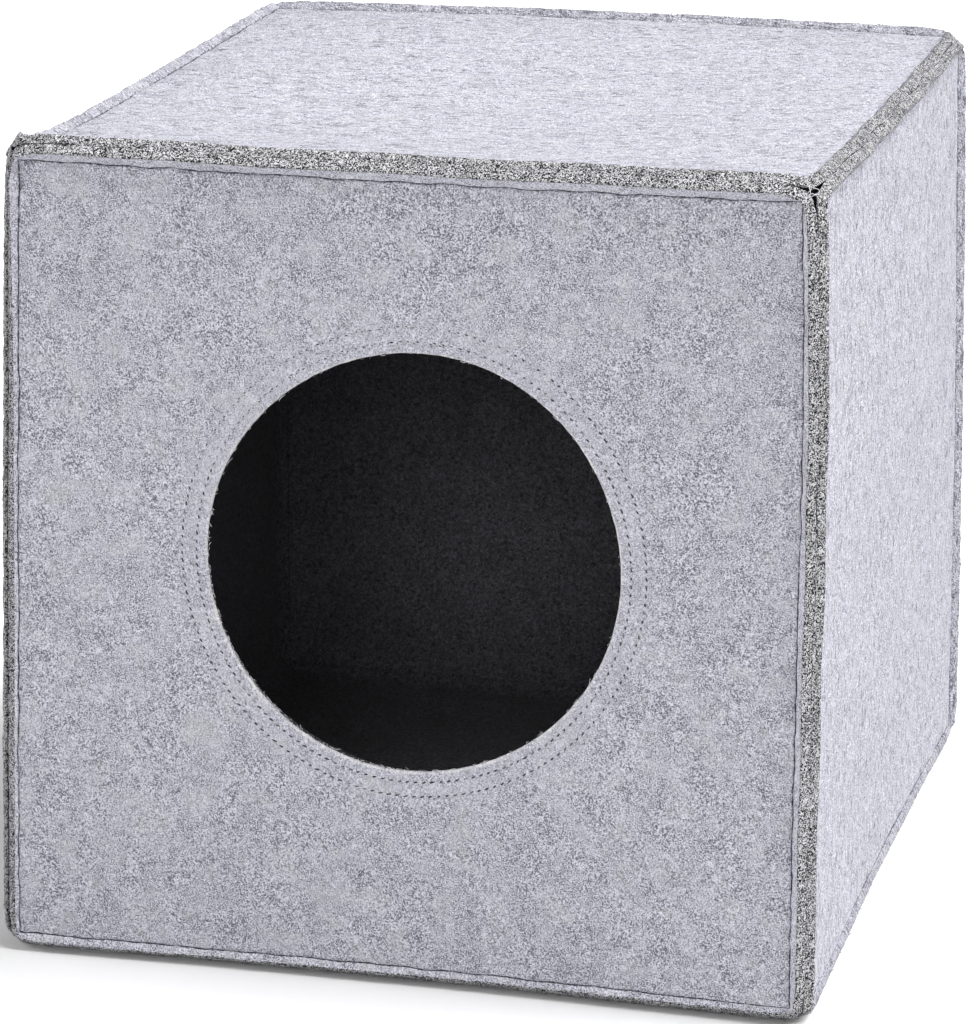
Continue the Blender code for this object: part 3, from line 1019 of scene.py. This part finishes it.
def felt_material():
    """Light grey melange felt, darker and rougher where it was cut, with painted shade in the grooves, in the
    needle holes and between the two layers of each fin.
    """
    n = Nodes("grey_felt")
    melange = melange_of(n)
    cut = n.attribute("cut")
    rough = n.noise(560.0, 2.0, 0.65, 2.6)
    raw = n.mix(n.ramp(rough + melange.fine * 0.8, 0.42, 0.59), (0.013, 0.013, 0.015), (0.72, 0.715, 0.74))
    base = n.mix(n.ramp(cut, 0.25, 0.75), face_colour(n, melange), raw)
    # Painted shade: the inner faces of the fins, between their two layers, are painted nearly black.
    base = n.mix(n.ramp(cut, 1.1, 1.6), base, (0.012, 0.012, 0.013))
    # Partly a stitch line and partly painted shade: the groove along the root of each fin is painted dark.
    line = n.ramp(n.attribute("groove") + n.uneven(420.0, 1.0) * 1.1, 0.42, 0.88, 0.0, 0.96)
    base = n.mix(line, base, (0.05, 0.05, 0.06))
    stitch = needle_hole_mask(n)
    # Painted shade: the needle holes round the doorway are painted nearly black, as the shade in them.
    base = n.mix(stitch, base, (0.045, 0.045, 0.055))
    height = n.math("MINIMUM", abs(n.uneven(280.0, 1.0, 0.6, 1.6)), 0.10) * -4.0
    height += melange.strands * 0.13 + melange.middle * 0.8 + melange.streaks * 3.0
    height += stitch * -0.9 + rough * cut * 1.6
    return n.finish(base, 0.94, 0.15, height)


def lining_material():
    """Soft black felt with a fuzz that catches a little light."""
    n = Nodes("black_lining")
    fuzz = n.noise(700.0, 3.0, 0.7, 1.0)
    cloud = n.ramp(n.noise(60.0, 2.0, 0.5, 0.4), 0.3, 0.7, 0.25, 0.0)
    speck = n.ramp(n.noise(950.0, 1.0, 0.5, 1.5), 0.64, 0.78)
    base = n.mix(n.ramp(fuzz, 0.34, 0.68), (0.016, 0.016, 0.018), (0.120, 0.120, 0.136))
    base = n.mix(cloud, base, (0.015, 0.015, 0.017))
    base = n.mix(speck * 0.7, base, (0.22, 0.22, 0.24))
    return n.finish(base, 0.96, 0.1, fuzz, 0.6, **{"Sheen Weight": 0.05, "Sheen Roughness": 0.5})


def floor_material():
    """A pale floor, greyer in the light that it throws back than where it is seen."""
    n = Nodes("floor")
    return n.finish(n.mix(n.node("LightPath", "Is Camera Ray"), (0.55,) * 3, (0.90,) * 3), 0.9, 0.1)


# ---- the lining

LINING_CELLS = 50
LINING_ROUND = 0.014  # radius of the lining's soft corners
LINING_TURNS = 6  # rows round a soft corner
LINING_DOOR_MARGIN = 0.0032  # the lining is cut this much wider than the felt
LINING_WAVE = 0.0009


def lining_stations(low, high):
    """The stations across a lining, from the middle of one soft corner to the middle of the other."""
    turn = np.radians(45.0) * (1.0 - np.arange(LINING_TURNS) / LINING_TURNS)
    rows = LINING_ROUND * (1.0 - np.sin(turn))
    middle = np.linspace(low + LINING_ROUND, high - LINING_ROUND, LINING_CELLS)
    place = np.concatenate((low + rows, middle, (high - rows)[::-1]))
    return Stations(place, place * 0.0, place * 0.0)


def lining_mesh(name, panel):
    """The closed fine mesh of a lining sheet behind the felt."""
    axes = other_axes(panel)
    cut = None
    faces = []
    for face in (0, 1):
        behind = FELT + LINING_GAP + LINING * face
        ends = []
        for axis in axes:
            sides = (BY_PLACE[axis, -1], BY_PLACE[axis, 1])
            ends.append([edge_of(side) - side.side * inset_at(panel, side, -behind, 0.0) for side in sides])
        if cut is None:
            outer_ends = ends
            stations = [lining_stations(low, high) for low, high in ends]
            cut = door_cut(stations, LINING_DOOR_MARGIN) if panel.name == "front" else plain_cut(stations)
        place = np.zeros((len(cut.place[0]), 3))
        place[:, panel.axis] = edge_of(panel)
        lift = np.zeros(len(place))
        for index, axis in enumerate(axes):
            low, high = ends[index]
            place[:, axis] = np.interp(cut.place[index], outer_ends[index], ends[index])
            inset = np.minimum(place[:, axis] - low, high - place[:, axis])
            turn = np.clip(1.0 - inset / LINING_ROUND, 0.0, 1.0)
            lift = np.maximum(lift, LINING_ROUND * (1.0 - np.sqrt(1.0 - turn**2)))
        wave = (1.0 + ripple(place, 0.075, 31 + panel.axis * 2)) * (lift == 0.0) * LINING_WAVE
        height = crown_at(panel, place) - behind - lift - wave
        faces.append(place + panel_shift(panel, place) + normal_of(panel) * height[:, None])
    return closed_sheet(name, cut, *faces, [[] for _ in cut.loops], 40.0)


# ---- threads and loose fibres


def tubes(name, lines, radii, upward, shade, sides=4):
    """Closed tubes along many lines of as many points each, as one mesh; a shade is that of a whole line."""
    number, steps = lines.shape[:2]
    ahead = np.gradient(lines, axis=1)
    beside = unit(np.cross(ahead, np.expand_dims(upward, -2)))
    above = unit(np.cross(beside, ahead))
    turn = 2.0 * np.pi * (np.arange(sides) + 0.5) / sides
    ring = beside[:, :, None] * np.cos(turn)[:, None] + above[:, :, None] * np.sin(turn)[:, None]
    points = lines[:, :, None] + ring * np.broadcast_to(radii, (number, steps))[..., None, None]
    spots = np.arange(number * steps * sides).reshape(number, steps, sides)
    quads = [grid_quads(closed_rows(spots))]
    for first in range(1, sides - 2, 2):
        corners = [0, first, first + 1, first + 2]
        quads.append(spots[:, 0][:, corners])
        quads.append(spots[:, -1][:, corners[::-1]])
    data = new_mesh(name, points.reshape(-1, 3), np.concatenate(quads))
    add_values(data, "shade", np.repeat(np.broadcast_to(shade, number), steps * sides))
    return data


FIBRES_PER_METRE = 950
FIBRE_STEPS = 4
LOOSE_SHARE = 0.16  # of the fibres stand out by one end
FIBRE_SUNK = 0.00004  # how deep their ends lie in the felt


def fibre_mesh(name, edge, seed, per_metre=FIBRES_PER_METRE, shades=(0.42, 0.33, 0.25), thick=1.0):
    """Tangled fibres on a cut edge, in shares of dark, middling and light ones, more where it is thick."""
    rng = np.random.default_rng(seed)
    length = np.linalg.norm(np.roll(edge.outer, -1, axis=0) - edge.outer, axis=1) * thick
    number = int(length.sum() * per_metre)
    spot = rng.choice(len(length), number, p=length / length.sum())
    part = rng.random(number)[:, None]
    after = (spot + 1) % len(length)
    outer, inner, up = (points[spot] * (1.0 - part) + points[after] * part for points in edge)
    up = unit(up)
    across = inner - outer
    along = unit(np.cross(up, across))
    share = rng.uniform(0.02, 1.0, number)
    size = rng.uniform(0.8, 2.6, number) * MM
    heading = rng.normal(0.0, 0.9, number) + np.pi * (rng.random(number) < 0.5)
    curl = rng.normal(0.0, 1.5, number)
    loose = rng.random(number) < LOOSE_SHARE
    lift = np.where(loose, rng.uniform(0.2, 1.1, number), rng.uniform(0.05, 0.25, number)) * MM
    step = np.linspace(0.0, 1.0, FIBRE_STEPS)
    turn = heading[:, None] + curl[:, None] * step
    run = np.cumsum(np.cos(turn), axis=1) - np.cos(turn[:, :1])
    drift = np.cumsum(np.sin(turn), axis=1) - np.sin(turn[:, :1])
    scale = (size / (FIBRE_STEPS - 1))[:, None]
    height = lift[:, None] * np.where(loose[:, None], step, np.sin(np.pi * step)) - FIBRE_SUNK
    base = outer + across * share[:, None] + up * swell_at(share)[:, None]
    lines = base[:, None] + along[:, None] * (run * scale)[..., None]
    lines += unit(across)[:, None] * ((drift - drift.mean(axis=1)[:, None]) * scale)[..., None]
    lines += up[:, None] * height[..., None]
    radii = rng.uniform(0.05, 0.13, number)[:, None] * MM * np.where(step == 1.0, 0.5, 1.0)
    shade = rng.choice((0.0, 0.35, 1.0), number, p=shades) + rng.uniform(0.0, 0.2, number)
    return tubes(name, lines, radii, up, np.clip(shade, 0.0, 1.0))


STITCH_SHARE = 0.50  # of the pitch that shows as thread
STITCH_SHADE = 0.85
STITCH_HEIGHT = 0.00016
STITCH_DIP = 0.00055  # how far its ends dip into the felt
THREAD_RADIUS = 0.00021


def door_surface(panel, angle, away):
    """Points on the outer face round the doorway."""
    place = DOOR_MIDDLE + (door_radius(angle) + away) * rays(angle)
    side = np.where(place < ((0.0,), (HIGH[2] / 2.0,)), -1, 1)
    outer = felt_face(panel, Cut(place, place * 0.0, side), 0)
    return outer + normal_of(panel) * unevenness(panel, outer)[:, None]


def stitch_mesh(name):
    """The thread of both rows of stitches round the doorway, which dips into the felt between them."""
    rng = np.random.default_rng(77)
    panel = BY_NAME["front"]
    step = np.linspace(-0.5, 0.5, 6)
    lines = []
    for row in STITCH_ROWS:
        middle = np.arange(row.count)[:, None] + rng.normal(0.0, 0.03, (row.count, 1))
        angle = (middle + step * STITCH_SHARE) * 2.0 * np.pi / row.count
        away = (row.away + rng.normal(0.0, 0.12, (row.count, 1)) + step * 0.5) * MM
        surface = door_surface(panel, angle.ravel(), away.ravel()).reshape(row.count, len(step), 3)
        height = STITCH_HEIGHT - STITCH_DIP * (2.0 * step) ** 4
        lines.append(surface + normal_of(panel) * height[:, None])
    return tubes(name, np.concatenate(lines), THREAD_RADIUS, normal_of(panel), STITCH_SHADE, sides=6)


DOOR_FIBRES_PER_METRE = 1700
DOOR_FIBRES_AT = 228.0  # degrees anticlockwise from +X, where most of them are
DOOR_FIBRES_AWAY = 0.35 * MM  # from the rim
DOOR_FIBRES_SUNK = 0.10 * MM
DOOR_FIBRES_DEPTH = 1.6 * MM  # from the face, of the band that they stand on


def door_fibres(name):
    """Pale fibres that stand out from the cut edge of the doorway, most of them at its lower left; their
    paleness is partly a painted highlight along the rim.
    """
    panel = BY_NAME["front"]
    angle = np.linspace(0.0, 2.0 * np.pi, 400, endpoint=False)
    outward = np.insert(-rays(angle), 1, 0.0, axis=0).T
    outer = door_surface(panel, angle, DOOR_FIBRES_AWAY) - normal_of(panel) * DOOR_FIBRES_SUNK
    turn = np.angle(np.exp(1j * (angle - math.radians(DOOR_FIBRES_AT))))
    thick = 0.06 + 0.94 * np.exp(-((turn / 0.95) ** 2))
    edge = CutEdge(outer, outer - normal_of(panel) * DOOR_FIBRES_DEPTH, outward)
    # Partly painted highlight: real loose fibres, most of them made pale to stand in for the highlight along
    # the doorway's rim.
    return fibre_mesh(name, edge, 201, DOOR_FIBRES_PER_METRE, (0.04, 0.26, 0.70), thick)


class LooseThread(NamedTuple):
    """A thread end between the tips of two panels' fins. Sizes are in mm."""

    start: str
    end: str
    bow: float
    curl: float


LOOSE_THREADS = (
    LooseThread("front", "top", 1.3, 0.5),
    LooseThread("front", "right", 1.5, 0.4),
    LooseThread("top", "right", 0.9, 0.6),
    LooseThread("front", "right", 0.6, -0.7),
    LooseThread("top", "front", 0.7, -0.5),
)
LOOSE_THREAD_RADIUS = 0.00013


def fin_tip(panel):
    """The tip of a panel's fin at the front top right corner, near the inner face."""
    cut = plain_cut([stations_of(panel, axis) for axis in other_axes(panel)])
    sides = [[-1 if axis == 1 else 1] for axis in other_axes(panel)]
    here = ((cut.rise == 1.0) & (cut.side == sides)).all(axis=0)
    return felt_face(panel, cut, 1)[here][0] * 0.7 + felt_face(panel, cut, 0)[here][0] * 0.3


def corner_threads(name):
    """Loose ends of the seams' thread in the corner where three fins meet."""
    rng = np.random.default_rng(31)
    tips = {panel: fin_tip(BY_NAME[panel]) for panel in ("front", "top", "right")}
    outward = unit(np.array((1.0, -1.2, 1.0)))
    step = np.linspace(0.0, 1.0, 14)[:, None]
    lines = []
    for thread in LOOSE_THREADS:
        start, end = tips[thread.start], tips[thread.end]
        sideways = unit(np.cross(end - start, outward))
        line = start * (1.0 - step) + end * step + outward * (np.sin(np.pi * step) * thread.bow * MM)
        line += sideways * (np.sin(2.0 * np.pi * step + thread.curl) * thread.curl * MM)
        lines.append(line + outward * 0.2 * MM + rng.normal(0.0, 0.0002, (1, 3)))
    return tubes(name, np.array(lines), LOOSE_THREAD_RADIUS, outward, 1.0, sides=6)


# ---- camera, light and floor

CAMERA_PLACE = (0.41935, -1.71126, 0.63131)
CAMERA_RIGHT = (0.96932, 0.24573, 0.00538)
CAMERA_BACK = (0.23550, -0.93478, 0.26596)
CAMERA_LENS = 151.48
CAMERA_SHIFT = (0.0003, -0.00095)


class Sun(NamedTuple):
    """A soft even light."""

    name: str
    towards: tuple  # the direction that it shines from
    softness: float  # in degrees
    strength: float


SUNS = (
    Sun("key", (0.585, 0.12, 0.81), 50.0, 5.25),
    Sun("front", (0.15, -0.955, 0.26), 22.0, 0.84),
    Sun("fill", (-0.70, -0.50, 0.51), 60.0, 0.70),
    Sun("side", (-0.95, 0.02, 0.28), 45.0, 0.9),
)
GLOW_PLACE = (0.00, -0.02, 0.08)
GLOW_RADIUS = 0.05
GLOW_POWER = 0.15
FLOOR_HALF = 12.0
SKY_LIGHT = 0.20  # how strongly the white surroundings light the cave


def add_camera():
    """The camera at the photograph's angle."""
    data = bpy.data.cameras.new("camera")
    data.sensor_width = 36.0
    data.lens = CAMERA_LENS
    data.shift_x, data.shift_y = CAMERA_SHIFT
    right = Vector(CAMERA_RIGHT).normalized()
    back = Vector(CAMERA_BACK).normalized()
    turn = Matrix((right, back.cross(right).normalized(), back)).transposed().to_4x4()
    camera = add_object("camera", data)
    camera.matrix_world = Matrix.Translation(CAMERA_PLACE) @ turn
    bpy.context.scene.camera = camera


def add_lights():
    """The suns, and a weak soft light inside the cave, which no camera sees."""
    for sun in SUNS:
        data = bpy.data.lights.new(sun.name, "SUN")
        data.angle = math.radians(sun.softness)
        data.energy = sun.strength
        add_object(sun.name, data).rotation_euler = Vector(sun.towards).to_track_quat("Z", "Y").to_euler()
    data = bpy.data.lights.new("glow", "POINT")
    data.energy = GLOW_POWER
    data.shadow_soft_size = GLOW_RADIUS
    glow = add_object("glow", data)
    glow.location = GLOW_PLACE
    glow.visible_camera = False


def add_stage():
    """The pale floor and the white surroundings."""
    data = bpy.data.meshes.new("floor")
    corners = [(x * FLOOR_HALF, y * FLOOR_HALF, 0.0) for x, y in ((-1, -1), (1, -1), (1, 1), (-1, 1))]
    data.from_pydata(corners, [], [(0, 1, 2, 3)])
    data.materials.append(floor_material())
    floor = add_object("floor", data)
    world = bpy.data.worlds.new("studio")
    world.use_nodes = True
    background = world.node_tree.nodes["Background"]
    background.inputs["Color"].default_value = (1.0, 1.0, 1.0, 1.0)
    path = world.node_tree.nodes.new("ShaderNodeLightPath")
    span = world.node_tree.nodes.new("ShaderNodeMapRange")
    span.inputs["To Min"].default_value = SKY_LIGHT
    world.node_tree.links.new(path.outputs["Is Camera Ray"], span.inputs["Value"])
    world.node_tree.links.new(span.outputs["Result"], background.inputs["Strength"])
    bpy.context.scene.world = world
    bpy.context.scene.view_settings.view_transform = "Standard"
    bpy.context.scene.view_settings.look = "None"


# ---- the whole cave


def add_panel(number, panel, felt, lining, fibre):
    """A panel's felt sheet, the raw fibres on its cut edge, and the lining behind it."""
    axes = [stations_of(panel, axis) for axis in other_axes(panel)]
    cut = door_cut(axes, RIM_ROUND) if panel.name == "front" else plain_cut(axes)
    name = "felt_sheet_" + panel.name
    data, edge = felt_mesh(name, panel, cut)
    piece = add_piece(name, data, felt, "grey_felt", "felt_" + panel.name)
    name = "raw_fibres_" + panel.name
    add_piece(name, fibre_mesh(name, edge, 100 + number), fibre, "grey_felt")
    name = "lining_sheet_" + panel.name
    piece = add_piece(name, lining_mesh(name, panel), lining, "black_lining", "lining_" + panel.name)


def main():
    """Adds the camera, the lights, the stage and all the pieces."""
    add_camera()
    add_stage()
    add_lights()
    fibre = fibre_material()
    felt = felt_material()
    lining = lining_material()
    for number, panel in enumerate(PANELS):
        add_panel(number, panel, felt, lining, fibre)
    meshes = {"door_stitches": stitch_mesh, "raw_fibres_door": door_fibres, "corner_threads": corner_threads}
    for name, mesh in meshes.items():
        add_piece(name, mesh(name), fibre, "grey_felt")


main()
